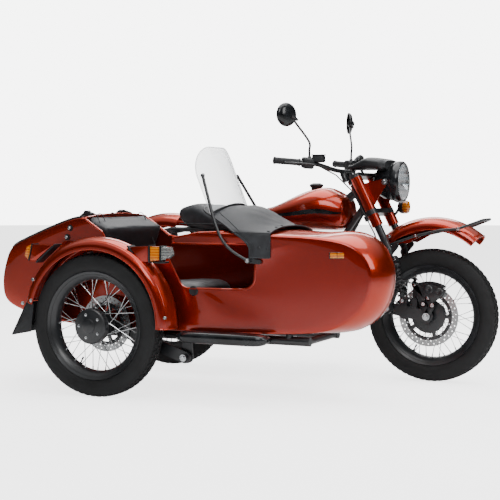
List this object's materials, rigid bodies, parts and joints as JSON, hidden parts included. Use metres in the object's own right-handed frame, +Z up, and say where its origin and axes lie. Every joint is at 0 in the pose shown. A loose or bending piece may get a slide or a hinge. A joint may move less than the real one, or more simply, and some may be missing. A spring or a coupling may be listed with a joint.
{
  "type": "sidecar motorcycle",
  "caption": "Boxer-twin motorcycle with a leading-link fork and a sidecar on its right: hollow tub with seat, windscreen and lidded trunk.",
  "frame": {"origin": "on the ground under the middle of the whole outfit", "axes": "+X forward, +Y to the left of the motorcycle, +Z up; the sidecar is on the -Y side"},
  "size_m": [2.229, 1.6508, 1.354],
  "materials": {
    "gloss_paint": "metallic burnt orange gloss",
    "frame_black": "semi-gloss black powder coat",
    "black_plastic": "fine-grained black",
    "tyre": "block-tread rubber",
    "hose_rubber": "satin black",
    "disc_steel": "ground stainless steel",
    "bright_steel": "polished stainless steel",
    "cast_alloy": "sand-cast aluminium",
    "black_vinyl": "satin black grained vinyl",
    "clear_screen": "clear acrylic",
    "mirror_black": "gloss black shell with mirror glass",
    "amber_lens": "amber acrylic lens",
    "red_lens": "red acrylic lens",
    "head_glass": "black bucket with clear glass lens"
  },
  "bodies": {
    "chassis": {"steering_head": "frame_black", "main_frame": "frame_black", "engine_case": "cast_alloy", "cylinders": "cast_alloy", "intake": "black_plastic", "exhaust": "bright_steel", "fuel_tank": "gloss_paint", "fuel_cap": "black_plastic", "rider_seat": "black_vinyl", "rear_fender": "gloss_paint", "rear_lamps": "red_lens", "swingarm": "frame_black", "final_drive": "cast_alloy", "shock_absorbers": "frame_black", "foot_controls": "frame_black", "side_covers": "gloss_paint", "sidecar_frame": "frame_black", "mounting_struts": "frame_black", "sidecar_swingarm": "frame_black", "side_step": "frame_black", "sidecar_body": "gloss_paint", "lid_hinges": "frame_black", "sidecar_seat": "black_vinyl", "sidecar_backrest": "black_vinyl", "sidecar_apron": "black_vinyl", "windscreen": "clear_screen", "windscreen_stays": "frame_black", "sidecar_fender": "gloss_paint", "fender_lamps": "gloss_paint", "mudflap": "hose_rubber"},
    "fork": {"fork": "frame_black", "fork_covers": "gloss_paint", "leading_links": "frame_black", "front_shocks": "frame_black", "front_caliper": "frame_black", "front_fender": "gloss_paint", "fender_rail": "frame_black", "headlamp": "head_glass", "instrument_cowl": "black_vinyl", "handlebar": "frame_black", "hand_controls": "black_plastic", "mirrors": "mirror_black", "front_indicators": "amber_lens", "brake_hose": "hose_rubber"},
    "front_wheel": {"front_tyre": "tyre", "front_wheel": "frame_black", "front_disc": "disc_steel"},
    "rear_wheel": {"rear_tyre": "tyre", "rear_wheel": "frame_black", "rear_disc": "disc_steel"},
    "sidecar_wheel": {"sidecar_tyre": "tyre", "sidecar_wheel": "frame_black", "sidecar_disc": "disc_steel"},
    "trunk_lid": {"trunk_lid": "gloss_paint"},
    "centre_stand": {"centre_stand": "frame_black"}
  },
  "joints": [
    {"name": "steering", "type": "hinge", "parent": "chassis", "child": "fork", "pos_m": [0.41951, 0.3585, 0.88981], "axis": [-0.4384, 0, 0.8988], "range_deg": [-35, 35]},
    {"name": "front_wheel_spin", "type": "hinge", "parent": "fork", "child": "front_wheel", "pos_m": [0.7885, 0.3585, 0.326], "axis": [0, 1, 0], "continuous": true},
    {"name": "rear_wheel_spin", "type": "hinge", "parent": "chassis", "child": "rear_wheel", "pos_m": [-0.6735, 0.3585, 0.326], "axis": [0, 1, 0], "continuous": true},
    {"name": "sidecar_wheel_spin", "type": "hinge", "parent": "chassis", "child": "sidecar_wheel", "pos_m": [-0.4435, -0.7415, 0.326], "axis": [0, 1, 0], "continuous": true},
    {"name": "lid_hinge", "type": "hinge", "parent": "chassis", "child": "trunk_lid", "pos_m": [-0.6475, -0.3535, 0.832], "axis": [0, 1, 0], "range_deg": [0, 75]},
    {"name": "stand_pivot", "type": "hinge", "parent": "chassis", "child": "centre_stand", "pos_m": [-0.2735, 0.3585, 0.172], "axis": [0, -1, 0], "range_deg": [0, 105]}
  ]
}
